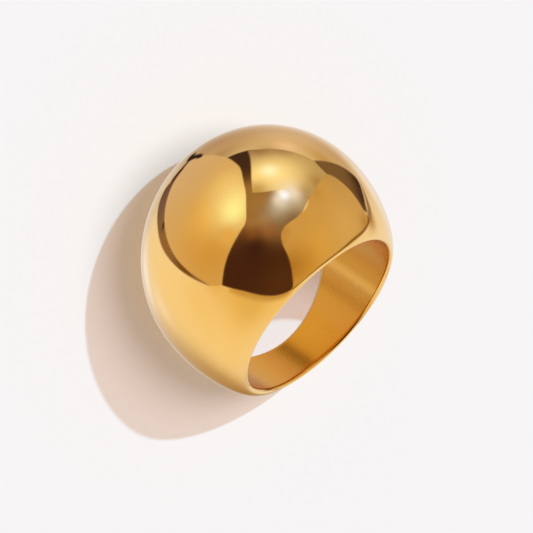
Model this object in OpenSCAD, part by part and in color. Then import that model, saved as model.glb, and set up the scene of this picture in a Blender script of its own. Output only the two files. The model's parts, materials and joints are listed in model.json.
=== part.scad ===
// Dome ring, one solid: a high round crown that narrows through its shoulders to a thin shank.
// It lies on its side as it comes to rest by itself, on its lower rim, which is at z = 0.
// The crown faces the front (-Y), the shank is at the back, and the plane x = 0 is its mirror plane.

/* [Finger hole] */
// Inner diameter, the size of the finger
inner_d = 18; // [14:0.5:22]

/* [Crown] */
// Metal over the finger hole at the top of the crown
crown_wall = 8.5; // [6:0.1:11]
// Widest width of the crown, along the finger hole
crown_width = 21.2; // [15:0.1:26]

/* [Shank] */
// Metal at the back of the shank
shank_wall = 1.3; // [0.9:0.05:2.2]
// Width of the back of the shank, along the finger hole
shank_width = 5; // [3:0.1:8]

/* [Edges] */
// Rounding where each rim meets the finger hole
edge_r = 0.3; // [0.1:0.05:0.4]

/* [Hidden] */

// Sections at equal steps round the finger hole, from the top of the crown to the back of the shank.
// A section is half an oval that stands on the finger hole. Its columns are
// WALL: metal over the hole, from 0 at the shank to 1 at the crown
// WIDTH: width along the hole, from 0 at the shank to 1 at the crown
// OVAL: half the oval's height, as a share of the metal over the hole
SECTIONS = [
    [1.000, 1.000, 1.40],
    [0.650, 0.862, 1.50],
    [0.165, 0.465, 1.08],
    [0.030, 0.130, 0.85],
    [0.000, 0.000, 1.05],
];
WALL = 0;
WIDTH = 1;
OVAL = 2;
COLUMNS = [WALL, WIDTH, OVAL];
LAST = len(SECTIONS) - 1;

// Facets round the finger hole, across the outside of one section, and round one edge
TURN_STEPS = 96;
ACROSS_STEPS = 24;
EDGE_STEPS = 3;
// An edge's rounding stops this far short of the finger hole's wall, in degrees of its arc
EDGE_STOP = 20;
// The finger hole's cutter runs this far past both rims
CUT_PAST = 2;

hole_r = inner_d / 2;

function total(list) = list * [for (x = list) 1];

// A smooth curve through a column of sections, as a sum of cosine waves round the finger hole
function end_share(i) = i == 0 || i == LAST ? 0.5 : 1;
function wave(column, k) = 2 / LAST * end_share(k) * total(
    [for (i = [0:LAST]) end_share(i) * SECTIONS[i][column] * cos(180 * i * k / LAST)]);
WAVES = [for (column = COLUMNS) [for (k = [0:LAST]) wave(column, k)]];
function smooth(column, angle) = total([for (k = [0:LAST]) WAVES[column][k] * cos(k * angle)]);

function wall(angle) = shank_wall + (crown_wall - shank_wall) * smooth(WALL, angle);
function half_width(angle) = (shank_width + (crown_width - shank_width) * smooth(WIDTH, angle)) / 2;
function oval_height(angle) = wall(angle) * smooth(OVAL, angle);
function oval_centre(angle) = hole_r + wall(angle) - oval_height(angle);

// Points of a section are [along the hole, away from the hole's axis]
function oval_point(angle, t) = [
    half_width(angle) * cos(t), oval_centre(angle) + oval_height(angle) * sin(t)];
function oval_normal_angle(angle, t) = atan2(sin(t) / oval_height(angle), cos(t) / half_width(angle));
// Where on the oval a point lies that is this high above the hole's wall
function oval_t(angle, above) = asin((hole_r + above - oval_centre(angle)) / oval_height(angle));

// The rounded edge touches the oval at edge_t and then turns inwards to the finger hole
function edge_t(angle) = oval_t(angle, edge_r * (1 + sin(oval_normal_angle(angle, oval_t(angle, 0)))));
function edge_points(angle, t) =
    let(from = oval_normal_angle(angle, t), to = EDGE_STOP - 90,
        centre = [oval_point(angle, t)[0] - edge_r * cos(from), hole_r + edge_r])
    [for (i = [EDGE_STEPS:-1:1]) let(a = from + (to - from) * i / EDGE_STEPS)
        centre + edge_r * [cos(a), sin(a)]];
function half_section(angle) = let(t = edge_t(angle)) concat(
    edge_points(angle, t),
    [for (i = [0:ACROSS_STEPS / 2]) oval_point(angle, t + (90 - t) * 2 * i / ACROSS_STEPS)]);
function mirrored(points) = [for (i = [len(points) - 2:-1:0]) [-points[i][0], points[i][1]]];
function section(angle) = let(half = half_section(angle)) concat(half, mirrored(half));

// A section's points in the ring's own upright frame: the finger hole along Y, the crown up along Z
function placed(angle) = [for (p = section(angle)) [p[1] * sin(angle), p[0], p[1] * cos(angle)]];

ANGLES = [for (i = [0:TURN_STEPS - 1]) 360 * i / TURN_STEPS];
RINGS = [for (angle = ANGLES) placed(angle)];
PER_RING = len(RINGS[0]);
SKIN = [for (ring = RINGS) for (p = ring) p];

// The lower rim is at -Y in the upright frame. A plane laid against it touches the crown and the shank.
CROWN_SIDE = placed(0);
SHANK_SIDE = placed(180);
rim_slope = min([for (q = SHANK_SIDE) max([for (p = CROWN_SIDE) (q[1] - p[1]) / (p[2] - q[2])])]);
rim_tilt = atan(rim_slope);

// Turning by lay_angle about X brings that plane level. The base is then set at z = 0 and centred.
lay_angle = 90 - rim_tilt;
LAID_Y = [for (p = SKIN) p[1] * cos(lay_angle) - p[2] * sin(lay_angle)];
LAID_Z = [for (p = SKIN) p[1] * sin(lay_angle) + p[2] * cos(lay_angle)];
base_y = (min(LAID_Y) + max(LAID_Y)) / 2;
base_z = min(LAID_Z);

// The solid without its finger hole: the skin, closed across both ends of the hole
module outer_form() {
    front_cap = len(SKIN);
    back_cap = front_cap + 1;
    cap_y = total([for (ring = RINGS) ring[0][1]]) / TURN_STEPS;
    function at(i, j) = (i % TURN_STEPS) * PER_RING + j;
    skin_faces = [for (i = [0:TURN_STEPS - 1]) for (j = [0:PER_RING - 2])
        for (face = [[at(i, j), at(i + 1, j), at(i + 1, j + 1)], [at(i, j), at(i + 1, j + 1), at(i, j + 1)]])
            face];
    front_faces = [for (i = [0:TURN_STEPS - 1]) [front_cap, at(i + 1, 0), at(i, 0)]];
    back_faces = [for (i = [0:TURN_STEPS - 1]) [back_cap, at(i, PER_RING - 1), at(i + 1, PER_RING - 1)]];
    polyhedron(
        points = concat(SKIN, [[0, cap_y, 0], [0, -cap_y, 0]]),
        faces = concat(skin_faces, front_faces, back_faces));
}

module finger_hole() {
    rotate([90, 0, 0])
        cylinder(r = hole_r, h = crown_width + 2 * CUT_PAST, center = true, $fn = 96);
}

module dome_ring() {
    color("goldenrod")
        translate([0, -base_y, -base_z])
            rotate([lay_angle, 0, 0])
                difference() {
                    outer_form();
                    finger_hole();
                }
}

dome_ring();
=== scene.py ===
"""The looks of the dome ring: polished gold with a satin finger hole, on a pale surface in a soft studio.

All lengths are in metres, in the frame of the construction model, unless a name ends in _MM.
Directions are an azimuth, 0 at the front (-Y) and 90 to the right (+X), and an elevation, both in degrees.
"""

import json
import math

import bpy
import numpy as np
from mathutils import Matrix, Vector


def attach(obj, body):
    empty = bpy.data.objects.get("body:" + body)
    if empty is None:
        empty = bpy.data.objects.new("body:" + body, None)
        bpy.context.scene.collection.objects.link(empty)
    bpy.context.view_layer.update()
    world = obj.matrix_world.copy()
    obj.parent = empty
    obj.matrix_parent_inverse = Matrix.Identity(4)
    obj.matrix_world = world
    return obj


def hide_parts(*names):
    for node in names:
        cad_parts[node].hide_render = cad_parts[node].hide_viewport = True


MM = 0.001

# The ring's sizes, as in the construction model. Its finger hole comes from the frame.
CROWN_WALL_MM = 8.5
CROWN_WIDTH_MM = 21.2
SHANK_WALL_MM = 1.3
SHANK_WIDTH_MM = 5
EDGE_RADIUS_MM = 0.3
# Sections at equal steps from the top of the crown to the back of the shank, with the columns
# WALL and WIDTH, from 0 at the shank to 1 at the crown, and OVAL, half the oval's height as a
# share of the metal over the hole
WALL, WIDTH, OVAL = range(3)
SECTIONS = np.array([
    [1.000, 1.000, 1.40],
    [0.650, 0.862, 1.50],
    [0.165, 0.465, 1.08],
    [0.030, 0.130, 0.85],
    [0.000, 0.000, 1.05],
])
# Faces round the finger hole, across the outside, round one edge and along the hole's wall
TURN_STEPS = 480
ACROSS_STEPS = 120
EDGE_STEPS = 10
HOLE_STEPS = 16
# The satin of the finger hole runs this many steps up its rounded edges
SATIN_STEPS = 4

# The camera's place round the middle of the finger hole, and where the photo shows that middle
CAMERA_AZIMUTH = 37.70
CAMERA_ELEVATION = 59.34
CAMERA_ROLL = 106.89
CAMERA_DISTANCE = 0.8
PHOTO_SIDE = 533
PHOTO_PIXELS_PER_MM = 10.6
HOLE_PIXEL = (277.9, 287.2)

# The polished gold has a faint haze that comes and goes, between two colours and two roughnesses
GOLD = (0.95, 0.62, 0.22)
HAZED_GOLD = (0.96, 0.63, 0.23)
POLISHED_ROUGHNESS = (0.03, 0.06)
HAZE_SCALE = 400
HAZE_DETAIL = 3
# The satin in the finger hole has faint lines that run round it
SATIN_ROUGHNESS = (0.268, 0.282)
LINE_SCALE = 300
LINE_DETAIL = 4
# They are this many times as long as wide
LINE_STRETCH = 40
LINE_DEPTH_MM = 0.01
LINE_STRENGTH = 0.005
# The part of a noise's range that is spread over the whole range of a look
NOISE_MIDDLE = (0.3, 0.7)
# The satin's gold is painted with shade and reflections: darker and lighter bands along a line across the
# hole, turned from the crown by the angle below, in degrees. The columns of the table after it are how far
# along the line from the hole's axis, as a share of the radius, and the colour.
PAINTED_BANDS_TURN = -65
SATIN_PAINTED_SHADE_AND_REFLECTIONS = [
    [-0.98, (0.62, 0.28, 0.001)],
    [-0.89, (0.92, 0.49, 0.065)],
    [-0.64, (0.95, 0.44, 0.064)],
    [-0.54, (1.00, 0.46, 0.045)],
    [-0.46, (1.00, 0.46, 0.042)],
    [-0.34, (0.93, 0.45, 0.051)],
    [-0.10, (0.91, 0.46, 0.061)],
    [0.08, (0.90, 0.48, 0.098)],
    [0.18, (0.89, 0.48, 0.095)],
    [0.31, (0.75, 0.39, 0.075)],
    [0.47, (1.00, 0.56, 0.132)],
    [0.62, (0.61, 0.28, 0.033)],
    [0.76, (0.54, 0.22, 0.012)],
    [0.94, (0.58, 0.27, 0.004)],
]

# The floor's own colour, and how it looks in full light
FLOOR_COLOUR = np.array([0.80, 0.80, 0.80])
FLOOR_LIT = np.array([0.930, 0.913, 0.922])
FLOOR_HALF_WIDTH = 6
# KEY_SHARE of the floor's light comes from the small key lamp, and the rest is warm. SOFT_SHARE of the warm
# light comes from a large soft lamp higher up on the same side, so the shadow is darker close to the ring.
# ROUND_SHARE of it comes from all round, and what is left glows through the floor as on a light table.
KEY_SHARE = np.array([0.165, 0.30, 0.375])
SOFT_SHARE = 0.42
ROUND_SHARE = 0.4
WARM_LIGHT = FLOOR_LIT * (1 - KEY_SHARE)
LAMP_AZIMUTH = -58
KEY_ELEVATION = 54
KEY_ANGLE = 1.5
SOFT_ELEVATION = 73
SOFT_ANGLE = 30

# The round studio that the ring mirrors: its radius, its faces along each side of its six squares,
# and the name of the light that is painted on its points
DOME_RADIUS = 0.9
DOME_STEPS = 128
PAINT = "light"
# An outline's corners are cut at this share of each side, this many times, and points that are closer
# together than SAME_POINT become one
CORNER_CUT = 0.25
CORNER_PASSES = 2
SAME_POINT = 1e-9

# What the ring mirrors: the pale sweep, and the studio's panels, painted in this order over it.
# Colours are light, so they may be over 1. A panel's edge is how many degrees its outline is soft to each
# side. An outline's columns are azimuth and elevation. A point that is there twice is a sharp corner.
# A glow's columns are azimuth, elevation, width in degrees, and its red, green and blue.
SWEEP = dict(colour=(0.95, 0.97, 1.04), glows=[
    [110, -35, 45, (0.99, 0.95, 0.88)],
    [125, 8, 40, (0.98, 0.90, 0.72)],
    [110, 40, 24, (0.88, 0.70, 0.32)],
    [80, 20, 16, (0.84, 0.66, 0.34)],
    [160, 45, 20, (0.96, 0.84, 0.55)],
    [160, -45, 22, (0.58, 0.46, 0.28)],
    [176, -38, 14, (0.62, 0.50, 0.32)],
    [-176, -48, 18, (0.42, 0.26, 0.10)],
    [-55, -40, 36, (0.62, 0.54, 0.54)],
    [-95, -28, 18, (0.58, 0.48, 0.44)],
    [-117, -34, 9, (0.94, 1.02, 1.30)],
    [-68, -30, 16, (0.73, 0.66, 0.69)],
    [-45, -60, 18, (0.50, 0.40, 0.40)],
    [-68, -75, 14, (0.47, 0.40, 0.38)],
    [-125, 32, 18, (0.90, 0.80, 0.70)],
    [-22, -38, 14, (0.48, 0.40, 0.36)],
    [-46, -16, 7, (0.62, 0.55, 0.54)],
    [-62, -17, 7, (0.90, 0.82, 0.98)],
    [-84, -10, 12, (0.58, 0.47, 0.30)],
    [-121, -4, 6, (0.54, 0.40, 0.27)],
    [126, 40, 15, (0.82, 0.66, 0.32)],
    [95, -3, 15, (0.96, 0.85, 0.62)],
    [130, -76, 8, (1.00, 1.12, 1.55)],
    [112, -58, 8, (0.98, 1.01, 1.20)],
    [-80, -83, 9, (0.78, 0.78, 0.80)],
])
PANELS = {
    "gap_shade": dict(
        edge=3,
        colour=(0.62, 0.44, 0.17),
        outline=[
            [92, 28], [104, 36], [116, 42], [132, 45.5], [150, 46], [163, 48.5], [167, 52], [180, 70],
            [110, 60]]),
    "gap": dict(
        edge=0.7,
        colour=(0.065, 0.025, 0.018),
        outline=[
            [-22, -27], [-22, -27], [-28.5, -24.5], [-36, -21.5], [-36, -21.5], [-60, 0], [-80, 12],
            [-95, 50], [180, 70], [168, 54], [163, 52], [150, 50.5], [130, 49.5], [113, 46],
            [101.5, 40.5], [88, 26], [88, 26], [60, 20], [20, 20], [0, 0], [-15, -20]],
        glows=[
            [150, 60, 20, (0.09, 0.04, 0.02)],
            [10, 50, 18, (0.26, 0.11, 0.05)],
            [-20, 74, 10, (0.22, 0.12, 0.07)],
            [-8, 42, 26, (0.40, 0.27, 0.14)],
            [-18, 62, 16, (0.27, 0.20, 0.14)],
            [50, 62, 17, (0.05, 0.02, 0.02)],
            [28, 56, 7, (0.22, 0.10, 0.05)],
            [15, 50, 7, (0.38, 0.24, 0.14)],
            [-26, 66, 5, (0.25, 0.20, 0.18)],
            [5, 68, 8, (0.32, 0.17, 0.11)],
            [0, 57, 8, (0.39, 0.28, 0.21)],
            [-10, 26, 10, (0.34, 0.23, 0.12)],
            [-30, -14, 20, (0.055, 0.035, 0.035)],
            [-72, 36, 18, (0.46, 0.39, 0.33)],
            [-58, 46, 14, (0.46, 0.47, 0.60)],
            [-24, 56, 9, (0.42, 0.44, 0.62)],
            [-37, 50, 8, (0.69, 0.84, 1.55)],
            [-53, 40, 9, (0.90, 1.10, 2.00)],
            [-33, 47, 5, (0.84, 1.00, 1.80)],
            [-40, 39, 6, (1.00, 1.20, 1.90)],
            [-76, 38, 9, (0.46, 0.37, 0.30)],
            [-42, 43, 4.5, (1.04, 1.58, 4.30)]]),
    "upper": dict(
        edge=0.7,
        colour=(0.50, 0.42, 0.35),
        outline=[
            [-35.5, -21], [-35.5, -21], [-41, -17], [-48, -15], [-59, -9.5], [-75.5, -3], [-90, 10],
            [-90, 40], [-60, 37], [-40, 37], [-30, 36.5], [-19, 34], [-10.5, 29], [-10.5, 29], [-18, 16],
            [-24, 5], [-29, -5], [-33, -14]],
        glows=[
            [-40, 20, 26, (1.08, 1.12, 1.02)],
            [-26, 14, 10, (1.06, 1.08, 0.92)],
            [-42, -17, 11, (0.36, 0.26, 0.22)],
            [-56, -11, 8, (0.45, 0.36, 0.33)],
            [-15, 30, 9, (0.60, 0.50, 0.30)],
            [-50, 40, 10, (0.97, 1.17, 2.05)],
            [-78, 22, 9, (0.46, 0.36, 0.22)],
            [-70, 36, 8, (0.50, 0.45, 0.42)],
            [-36, 14, 7, (1.05, 1.45, 2.10)]]),
    "band": dict(
        edge=0.6,
        colour=(0.28, 0.19, 0.15),
        outline=[
            [-19, -76.5], [-19, -76.5], [-26, -80.3], [-17, -81.4], [6.6, -80.8], [22, -78.3],
            [36.5, -72.8], [48, -64], [55, -57.3], [62, -47.8], [66, -39.5], [69.6, -30], [73.5, -19.8],
            [78, -6], [81.4, 3.3], [84, 10], [86, 15], [70, 10], [50, -30], [0, -60], [-30, -62]],
        glows=[
            [20, -76, 20, (0.19, 0.13, 0.16)],
            [-40, -76, 10, (0.12, 0.07, 0.05)],
            [60, -42, 10, (0.31, 0.18, 0.10)],
            [73, -14, 14, (0.18, 0.09, 0.02)],
            [45, -53, 2.5, (0.05, 0.02, 0.02)]]),
    "left": dict(
        edge=0.6,
        colour=(0.72, 0.58, 0.38),
        outline=[
            [-27.5, -57], [-25, -48], [-22.5, -37.5], [-22, -27], [-20.3, -13.5], [-19, -3], [-12, 12],
            [-5.5, 25.5], [5.5, 36.5], [13.5, 43], [22, 46.3], [31, 45.3], [45.5, 42.3], [55.3, 39.2],
            [64.5, 35.7], [75, 31.5], [88, 26], [88, 26], [85.5, 13.7], [81.7, 8.5], [78.2, 1.2],
            [73, -9.6], [66, -24], [60, -33.5], [54, -41.5], [46.8, -48.7], [35, -57.7], [23.5, -63.5],
            [11, -67.4], [-3, -70], [-14, -69.9], [-25, -68.8], [-31, -68], [-34, -66.5]],
        glows=[
            [-5, -48, 40, (0.69, 0.60, 0.57)],
            [56, 18, 34, (0.67, 0.45, 0.16)],
            [30, 4, 20, (0.84, 0.63, 0.29)],
            [-2, 0, 16, (0.86, 0.74, 0.51)],
            [8, 25, 23, (1.05, 1.12, 0.92)],
            [16, 28, 11, (1.05, 1.37, 1.18)],
            [42, 34, 8, (0.82, 0.61, 0.26)]]),
    "crescent_shade": dict(
        edge=1.4,
        colour=(0.35, 0.26, 0.21),
        outline=[
            [-107, -22.5], [-110, -16.5], [-113.5, -12.5], [-117.5, -9.5], [-120, -6], [-121.5, -2.5],
            [-122.3, 1], [-121, 3], [-119, 0], [-115, -5], [-111.5, -9], [-108.5, -15]]),
    "crescent": dict(
        edge=0.6,
        colour=(0.20, 0.14, 0.10),
        outline=[
            [-75, -3], [-75, -3], [-81.5, -7.5], [-87.5, -12], [-93, -16], [-98.5, -19.3], [-102.5, -21],
            [-105.5, -22], [-107, -18.3], [-108, -14], [-111, -7.8], [-113.8, -4], [-116.5, -2.5],
            [-116.5, -2.5], [-110, 8], [-90, 10], [-81.7, 5.8], [-77, 1.5]],
        glows=[
            [-107, -17, 8, (0.05, 0.025, 0.025)],
            [-111, -7, 8, (0.06, 0.03, 0.03)]]),
    "right_rim": dict(
        edge=0.6,
        colour=(0.25, 0.12, 0.01),
        outline=[
            [-115, 4], [-117.5, -1.2], [-119.8, -2], [-121.6, -0.6], [-124, 3.6], [-125.8, 8.6],
            [-127.4, 17], [-129, 24], [-136.8, 37.7], [-151, 49.6], [-165.5, 53.6], [-176, 54.2],
            [165, 52], [165, 52], [180, 62], [-150, 62]]),
    "right": dict(
        edge=0.7,
        colour=(0.65, 0.48, 0.24),
        outline=[
            [-82.7, 6.5], [-82.7, 6.5], [-87.8, 3.8], [-93.7, 3], [-101, 1.9], [-108, 1.8], [-114, 1.2],
            [-117.8, -0.4], [-120.2, 0.5], [-122.5, 4.4], [-123.8, 9.3], [-125.4, 17.7], [-126.8, 24.2],
            [-134, 39], [-148.5, 51.2], [-164.5, 55.2], [-175, 55.6], [168, 54], [168, 54], [170, 66],
            [172.5, 74], [176, 81], [176, 87], [-6, 87], [-15, 81], [-25, 76.5], [-37.5, 71.8],
            [-54, 66.6], [-64, 62], [-69.5, 54], [-71.5, 45], [-74, 35], [-77, 23], [-81, 10]],
        glows=[
            [-110, 10, 26, (0.63, 0.49, 0.31)],
            [-84, 5, 12, (0.55, 0.43, 0.27)],
            [-117, 28, 16, (0.69, 0.56, 0.34)],
            [-128, 56, 16, (0.74, 0.54, 0.23)],
            [-160, 64, 16, (0.67, 0.46, 0.13)],
            [175, 72, 15, (0.49, 0.29, 0.08)],
            [-77, 32, 7, (0.60, 0.43, 0.19)],
            [-38, 77, 5, (0.58, 0.39, 0.18)],
            [-5, 84, 4, (0.55, 0.37, 0.15)],
            [-120, 5, 5, (0.50, 0.35, 0.18)]]),
    "right_glint": dict(
        edge=0.6,
        colour=(0.88, 0.82, 0.84),
        outline=[
            [-71.7, 41], [-73.3, 47], [-72.5, 51], [-70, 56.5], [-70, 51], [-71, 46]]),
    "black_line": dict(
        edge=0.6,
        colour=(0.06, 0.03, 0.02),
        outline=[
            [-46, -71.5], [-37.6, -73.4], [-30.8, -75.8], [-25, -77.6], [-15, -75], [-18, -72.3],
            [-26, -70.2], [-36, -69.6]]),
    "black_mark": dict(
        edge=0.4,
        colour=(0.03, 0.02, 0.02),
        outline=[
            [-74, -72], [-76, -74], [-62, -74], [-44, -72.5], [-38, -69], [-34, -65.5], [-27, -61],
            [-26, -57], [-30, -58], [-39, -63.5], [-42, -66], [-50, -69.5], [-67, -71.5]]),
}


def direction(azimuth, elevation):
    """Unit vectors of directions from the ring."""
    a, e = np.radians(azimuth), np.radians(elevation)
    return np.stack([np.sin(a) * np.cos(e), -np.cos(a) * np.cos(e), np.sin(e)], -1)


def new_mesh(name, points, faces):
    """A mesh object with smooth shading."""
    mesh = bpy.data.meshes.new(name)
    mesh.from_pydata(points.tolist(), [], faces.tolist())
    mesh.shade_smooth()
    piece = bpy.data.objects.new(name, mesh)
    bpy.context.scene.collection.objects.link(piece)
    return piece


def grid_faces(rows, columns, looped):
    """The four-sided faces of a grid of points. A looped grid is closed both ways."""
    open_by = 0 if looped else 1
    i, j = np.meshgrid(np.arange(rows - open_by), np.arange(columns - open_by), indexing="ij")
    here, below = i.ravel() * columns, (i.ravel() + 1) % rows * columns
    left, right = j.ravel(), (j.ravel() + 1) % columns
    return np.stack([here + left, below + left, below + right, here + right], 1)


# The ring's form


def smooth(column, angles):
    """A smooth curve through a column of sections, as a sum of cosine waves, with a row for each angle."""
    last = len(SECTIONS) - 1
    steps = np.arange(last + 1)
    share = np.ones(last + 1)
    share[[0, last]] = 0.5
    table = np.cos(np.pi * np.outer(steps, steps) / last)
    waves = 2 / last * share * (table @ (share * SECTIONS[:, column]))
    return (np.cos(np.outer(angles, steps)) @ waves)[:, None]


def sized(shank_mm, crown_mm, column, angles):
    """A size round the ring, in metres, from its sizes at the shank and at the crown."""
    return MM * (shank_mm + (crown_mm - shank_mm) * smooth(column, angles))


def in_section(along, away):
    """Points of the sections, [along the finger hole, away from its axis]."""
    return np.stack(np.broadcast_arrays(along, away), -1)


def section_grid(hole_radius, angles):
    """The points of the whole skin, a row of them for each angle round the finger hole.

    A row starts in the middle of the hole's wall, and goes over one rim, the outside and the other rim.
    """
    wall = sized(SHANK_WALL_MM, CROWN_WALL_MM, WALL, angles)
    half_width = sized(SHANK_WIDTH_MM, CROWN_WIDTH_MM, WIDTH, angles) / 2
    oval_height = wall * smooth(OVAL, angles)
    oval_centre = hole_radius + wall - oval_height
    edge = EDGE_RADIUS_MM * MM

    def oval_angle(above):
        return np.arcsin((hole_radius + above - oval_centre) / oval_height)

    def normal_angle(t):
        return np.arctan2(np.sin(t) / oval_height, np.cos(t) / half_width)

    # The rounded edge touches the oval at `start` and turns inwards to the wall of the finger hole
    start = oval_angle(edge * (1 + np.sin(normal_angle(oval_angle(0)))))
    turn_from = normal_angle(start)
    edge_along = half_width * np.cos(start) - edge * np.cos(turn_from)
    hole_share = np.arange(HOLE_STEPS // 2) / (HOLE_STEPS // 2)
    turn = -np.pi / 2 + (turn_from + np.pi / 2) * np.arange(EDGE_STEPS) / EDGE_STEPS
    t = start + (np.pi / 2 - start) * np.arange(ACROSS_STEPS // 2 + 1) / (ACROSS_STEPS // 2)
    half = np.concatenate([
        in_section(edge_along * hole_share, hole_radius),
        in_section(edge_along + edge * np.cos(turn), hole_radius + edge + edge * np.sin(turn)),
        in_section(half_width * np.cos(t), oval_centre + oval_height * np.sin(t))], 1)
    other_half = half[:, -2:0:-1] * [-1, 1]
    return np.concatenate([half, other_half], 1)


def make_ring(hole):
    """The whole ring in one piece. Its outside and its rims are polished, and its finger hole is satin."""
    radius = hole["dims"]["r_mm"] * MM
    along = Vector(hole["axis"]).normalized()
    across = Vector((1, 0, 0))
    crown = across.cross(along)
    angles = np.arange(TURN_STEPS) * 2 * np.pi / TURN_STEPS
    outward = np.outer(np.sin(angles), across) + np.outer(np.cos(angles), crown)
    grid = section_grid(radius, angles)
    points = np.array(hole["pos_m"]) + grid[..., :1] * np.array(along) + grid[..., 1:] * outward[:, None]
    rows, columns = grid.shape[:2]
    ring = new_mesh("ring", points.reshape(-1, 3), grid_faces(rows, columns, looped=True))

    ring.data.materials.append(polished_gold())
    # The line along which the satin's painted shade and painted reflections change
    painted_bands_line = Matrix.Rotation(math.radians(PAINTED_BANDS_TURN), 3, along) @ crown
    ring.data.materials.append(satin_gold(hole["pos_m"], radius, along, painted_bands_line))
    satin = HOLE_STEPS // 2 + SATIN_STEPS
    column = np.tile(np.arange(columns), rows)
    in_hole = (column < satin) | (column >= columns - satin)
    ring.data.polygons.foreach_set("material_index", in_hole.astype(np.int32))
    return ring


# Materials


def new_material(name):
    """A material that is made of nodes."""
    material = bpy.data.materials.new(name)
    material.use_nodes = True
    return material


def metal(name):
    """A metal and its principled shader."""
    material = new_material(name)
    shader = material.node_tree.nodes["Principled BSDF"]
    shader.inputs["Metallic"].default_value = 1
    return material, shader


def noise(tree, vector, scale, detail):
    """Soft noise from 0 to 1."""
    node = tree.nodes.new("ShaderNodeTexNoise")
    node.inputs["Scale"].default_value = scale
    node.inputs["Detail"].default_value = detail
    tree.links.new(vector, node.inputs["Vector"])
    return node.outputs["Fac"]


def ranged(tree, value, low, high):
    """The middle part of a noise, spread from low to high."""
    node = tree.nodes.new("ShaderNodeMapRange")
    node.interpolation_type = "SMOOTHSTEP"
    node.inputs["From Min"].default_value = NOISE_MIDDLE[0]
    node.inputs["From Max"].default_value = NOISE_MIDDLE[1]
    node.inputs["To Min"].default_value = low
    node.inputs["To Max"].default_value = high
    tree.links.new(value, node.inputs["Value"])
    return node.outputs["Result"]


def mixed(tree, share, low, high):
    """The first colour where the share is 0, the second where it is 1, and what lies between them."""
    node = tree.nodes.new("ShaderNodeMix")
    node.data_type = "RGBA"
    node.inputs["A"].default_value = (*low, 1)
    node.inputs["B"].default_value = (*high, 1)
    tree.links.new(share, node.inputs["Factor"])
    return node.outputs["Result"]


def painted_bands_colour(tree, place, radius, painted_stops):
    """Painted shade and reflections as a colour by place along a line. Each stop is at its share of the
    radius.
    """
    share = tree.nodes.new("ShaderNodeMapRange")
    share.inputs["From Min"].default_value = -radius
    share.inputs["From Max"].default_value = radius
    tree.links.new(place, share.inputs["Value"])
    node = tree.nodes.new("ShaderNodeValToRGB")
    node.color_ramp.interpolation = "EASE"
    stops = node.color_ramp.elements
    while len(stops) < len(painted_stops):
        stops.new(1)
    for stop, (radius_share, colour) in zip(stops, painted_stops):
        stop.position = (radius_share + 1) / 2
        stop.color = (*colour, 1)
    tree.links.new(share.outputs["Result"], node.inputs["Fac"])
    return node.outputs["Color"]


def offset_along(tree, place, centre, axis):
    """How far a place lies past the centre, along an axis."""
    offset = tree.nodes.new("ShaderNodeVectorMath")
    offset.operation = "SUBTRACT"
    offset.inputs[1].default_value = centre
    tree.links.new(place, offset.inputs[0])
    distance = tree.nodes.new("ShaderNodeVectorMath")
    distance.operation = "DOT_PRODUCT"
    distance.inputs[1].default_value = axis
    tree.links.new(offset.outputs["Vector"], distance.inputs[0])
    return distance.outputs["Value"]


def bump(tree, height, depth, strength):
    """A surface that seems to rise and fall with a height from 0 to 1."""
    node = tree.nodes.new("ShaderNodeBump")
    node.inputs["Strength"].default_value = strength
    node.inputs["Distance"].default_value = depth
    tree.links.new(height, node.inputs["Height"])
    return node.outputs["Normal"]


def lines_round(tree, place, axis):
    """Noise that is drawn out to lines round an axis."""
    turned = tree.nodes.new("ShaderNodeMapping")
    turned.inputs["Rotation"].default_value = axis.rotation_difference(Vector((0, 0, 1))).to_euler()
    turned.inputs["Scale"].default_value = (1, 1, LINE_STRETCH)
    tree.links.new(place, turned.inputs["Vector"])
    return noise(tree, turned.outputs["Vector"], LINE_SCALE, LINE_DETAIL)


def polished_gold():
    """Mirror-polished gold plating, with a faint haze that comes and goes."""
    material, shader = metal("polished_gold")
    tree = material.node_tree
    place = tree.nodes.new("ShaderNodeTexCoord").outputs["Object"]
    haze = noise(tree, place, HAZE_SCALE, HAZE_DETAIL)
    colour = mixed(tree, ranged(tree, haze, 0, 1), GOLD, HAZED_GOLD)
    tree.links.new(colour, shader.inputs["Base Color"])
    tree.links.new(ranged(tree, haze, *POLISHED_ROUGHNESS), shader.inputs["Roughness"])
    return material


def satin_gold(centre, radius, along, painted_bands_line):
    """Satin gold with faint lines round the finger hole, and painted shade and reflections in bands across
    it.
    """
    material, shader = metal("satin_gold")
    tree = material.node_tree
    place = tree.nodes.new("ShaderNodeTexCoord").outputs["Object"]
    lines = lines_round(tree, place, along)
    offset = offset_along(tree, place, centre, painted_bands_line)
    tree.links.new(painted_bands_colour(tree, offset, radius, SATIN_PAINTED_SHADE_AND_REFLECTIONS), shader.inputs["Base Color"])
    tree.links.new(ranged(tree, lines, *SATIN_ROUGHNESS), shader.inputs["Roughness"])
    tree.links.new(bump(tree, lines, LINE_DEPTH_MM * MM, LINE_STRENGTH), shader.inputs["Normal"])
    return material


def glowing_paper(colour, glow):
    """Plain matt paper with an even light through it."""
    material = new_material("floor_paper")
    shader = material.node_tree.nodes["Principled BSDF"]
    shader.inputs["Base Color"].default_value = (*colour, 1)
    shader.inputs["Roughness"].default_value = 1
    shader.inputs["Specular IOR Level"].default_value = 0
    shader.inputs["Emission Color"].default_value = (*glow, 1)
    shader.inputs["Emission Strength"].default_value = 1
    return material


def painted_light():
    """A light as strong at each point as is painted there."""
    material = new_material("studio_light")
    tree = material.node_tree
    tree.nodes.clear()
    painted = tree.nodes.new("ShaderNodeAttribute")
    painted.attribute_name = PAINT
    emission = tree.nodes.new("ShaderNodeEmission")
    output = tree.nodes.new("ShaderNodeOutputMaterial")
    tree.links.new(painted.outputs["Color"], emission.inputs["Color"])
    tree.links.new(emission.outputs["Emission"], output.inputs["Surface"])
    material.cycles.emission_sampling = "NONE"
    return material


# The studio's light


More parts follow.
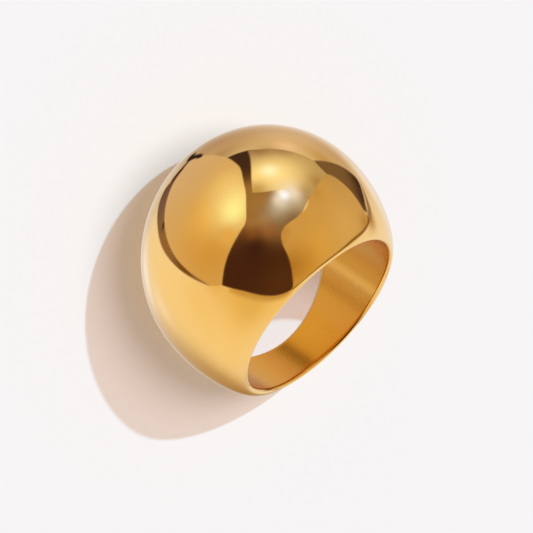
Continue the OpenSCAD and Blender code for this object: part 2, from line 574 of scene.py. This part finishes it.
def rounded(points):
    """A closed outline with its corners cut, over and over."""
    for _ in range(CORNER_PASSES):
        after = np.roll(points, -1, 0)
        near_start = (1 - CORNER_CUT) * points + CORNER_CUT * after
        near_end = CORNER_CUT * points + (1 - CORNER_CUT) * after
        points = np.stack([near_start, near_end], 1).reshape(-1, 3)
    apart = np.linalg.norm(points - np.roll(points, 1, 0), axis=1) > SAME_POINT
    return points[apart] / np.linalg.norm(points[apart], axis=1, keepdims=True)


def depth_inside(rays, outline):
    """How many degrees each direction lies inside a closed outline on the sphere, below 0 outside."""
    nearest = np.full(len(rays), np.pi)
    turned = np.zeros(len(rays))
    after = np.roll(outline, -1, 0)
    for start, end in zip(outline, after):
        along = end - start
        share = np.clip((rays - start) @ along / (along @ along), 0, 1)
        foot = start + share[:, None] * along
        foot /= np.linalg.norm(foot, axis=1, keepdims=True)
        nearest = np.minimum(nearest, np.arccos(np.clip((rays * foot).sum(1), -1, 1)))
        # Seen along a direction that lies inside, the sides turn a full circle in all
        turned += np.arctan2(rays @ np.cross(start, end), start @ end - (rays @ start) * (rays @ end))
    facing = np.sign(np.cross(outline, after).sum(0) @ outline.sum(0))
    return np.degrees(np.where(turned * facing > np.pi, nearest, -nearest))


def glowing(rays, colour, glows):
    """An even light with soft glows mixed over it."""
    light = np.tile(np.array(colour, float), (len(rays), 1))
    for azimuth, elevation, width, glow in glows:
        off = np.degrees(np.arccos(np.clip(rays @ direction(azimuth, elevation), -1, 1)))
        light += np.exp(-(off / width) ** 2)[:, None] * (np.array(glow) - light)
    return light


def covered(rays, panel):
    """How much a panel covers each direction, from 0 to 1 with a smooth step across its soft edge."""
    outline = rounded(direction(*np.array(panel["outline"], float).T))
    share = np.clip(depth_inside(rays, outline) / panel["edge"] / 2 + 0.5, 0, 1)[:, None]
    return share * share * (3 - 2 * share)


def studio_light(rays):
    """The light that comes to the ring from each direction."""
    light = glowing(rays, SWEEP["colour"], SWEEP["glows"])
    for panel in PANELS.values():
        light += covered(rays, panel) * (glowing(rays, panel["colour"], panel.get("glows", [])) - light)
    return light


def dome_rays():
    """Evenly spread directions, as six curved squares of a round studio."""
    slant = np.tan(np.linspace(-math.pi / 4, math.pi / 4, DOME_STEPS + 1))
    x, y = np.meshgrid(slant, slant)
    square = np.stack([x, y, np.ones_like(x)], -1).reshape(-1, 3)
    square /= np.linalg.norm(square, axis=1, keepdims=True)
    half = np.concatenate([square, square[:, [1, 2, 0]], square[:, [2, 0, 1]]])
    return np.concatenate([half, -half])


def make_dome():
    """A round studio that only mirrors see. Its light is painted on its points."""
    rays = dome_rays()
    side = DOME_STEPS + 1
    square = grid_faces(side, side, looped=False)
    faces = np.concatenate([square + first for first in range(0, len(rays), side * side)])
    dome = new_mesh("studio_dome", rays * DOME_RADIUS, faces)
    paint = dome.data.color_attributes.new(PAINT, "FLOAT_COLOR", "POINT")
    colours = np.concatenate([studio_light(rays), np.ones((len(rays), 1))], 1)
    paint.data.foreach_set("color", colours.ravel())
    dome.data.materials.append(painted_light())
    dome.visible_camera = False
    dome.visible_diffuse = False
    dome.visible_shadow = False


def make_floor():
    """The pale surface under the ring. The ring mirrors the studio instead of it."""
    corners = FLOOR_HALF_WIDTH * np.array([[-1, -1, 0], [1, -1, 0], [1, 1, 0], [-1, 1, 0]], float)
    floor = new_mesh("floor", corners, np.array([[0, 1, 2, 3]]))
    glow = WARM_LIGHT * (1 - SOFT_SHARE - ROUND_SHARE)
    floor.data.materials.append(glowing_paper(FLOOR_COLOUR, glow))
    floor.visible_glossy = False


def add_lamp(name, elevation, angle, light):
    """A far round lamp that gives the floor this much light. The ring doesn't mirror it."""
    back = direction(LAMP_AZIMUTH, elevation)
    strength = light / FLOOR_COLOUR * math.pi / back[2]
    sun = bpy.data.lights.new(name, "SUN")
    sun.angle = math.radians(angle)
    sun.energy = strength.max()
    sun.color = strength / strength.max()
    lamp = bpy.data.objects.new(name, sun)
    lamp.rotation_euler = Vector(back).to_track_quat("Z", "Y").to_euler()
    lamp.visible_glossy = False
    bpy.context.scene.collection.objects.link(lamp)


def make_lamps():
    """The small key lamp and the large soft lamp over it."""
    add_lamp("key_light", KEY_ELEVATION, KEY_ANGLE, FLOOR_LIT * KEY_SHARE)
    add_lamp("soft_light", SOFT_ELEVATION, SOFT_ANGLE, WARM_LIGHT * SOFT_SHARE)


def make_world():
    """The light from all round. What the camera sees past the floor looks like the floor."""
    world = bpy.data.worlds.new("studio")
    world.use_nodes = True
    tree = world.node_tree
    seen = tree.nodes.new("ShaderNodeLightPath").outputs["Is Camera Ray"]
    colour = mixed(tree, seen, WARM_LIGHT * ROUND_SHARE / FLOOR_COLOUR, FLOOR_LIT)
    tree.links.new(colour, tree.nodes["Background"].inputs["Color"])
    bpy.context.scene.world = world


# The camera


def make_camera(hole_centre):
    """The camera at the photo's angle to the ring, with the finger hole at the photo's place."""
    back = Vector(direction(CAMERA_AZIMUTH, CAMERA_ELEVATION))
    level = Vector((0, 0, 1)).cross(back).normalized()
    turn = Matrix.Rotation(math.radians(CAMERA_ROLL), 3, back)
    right = turn @ level
    up = back.cross(right)
    pixel = MM / PHOTO_PIXELS_PER_MM
    off_right = (HOLE_PIXEL[0] - PHOTO_SIDE / 2) * pixel
    off_down = (HOLE_PIXEL[1] - PHOTO_SIDE / 2) * pixel
    data = bpy.data.cameras.new("camera")
    data.lens = data.sensor_width * CAMERA_DISTANCE / (PHOTO_SIDE * pixel)
    camera = bpy.data.objects.new("camera", data)
    place = Matrix((right, up, back)).transposed().to_4x4()
    place.translation = hole_centre + back * CAMERA_DISTANCE - right * off_right + up * off_down
    camera.matrix_world = place
    bpy.context.scene.collection.objects.link(camera)
    bpy.context.scene.camera = camera


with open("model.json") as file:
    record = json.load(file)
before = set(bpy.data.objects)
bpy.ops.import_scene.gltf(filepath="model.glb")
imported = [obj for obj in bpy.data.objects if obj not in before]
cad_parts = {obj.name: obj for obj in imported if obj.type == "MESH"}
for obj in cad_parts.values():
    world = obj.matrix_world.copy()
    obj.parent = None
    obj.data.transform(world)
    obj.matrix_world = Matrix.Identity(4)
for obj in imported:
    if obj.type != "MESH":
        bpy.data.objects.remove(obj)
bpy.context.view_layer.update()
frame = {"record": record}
finger_hole = next(mount for mount in frame["record"]["mounts"] if mount["name"] == "finger_hole")

bpy.context.scene.view_settings.view_transform = "Standard"
make_camera(Vector(finger_hole["pos_m"]))
make_floor()
make_dome()
make_lamps()
make_world()

ring = make_ring(finger_hole)
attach(ring, "root")
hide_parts("dome_ring")
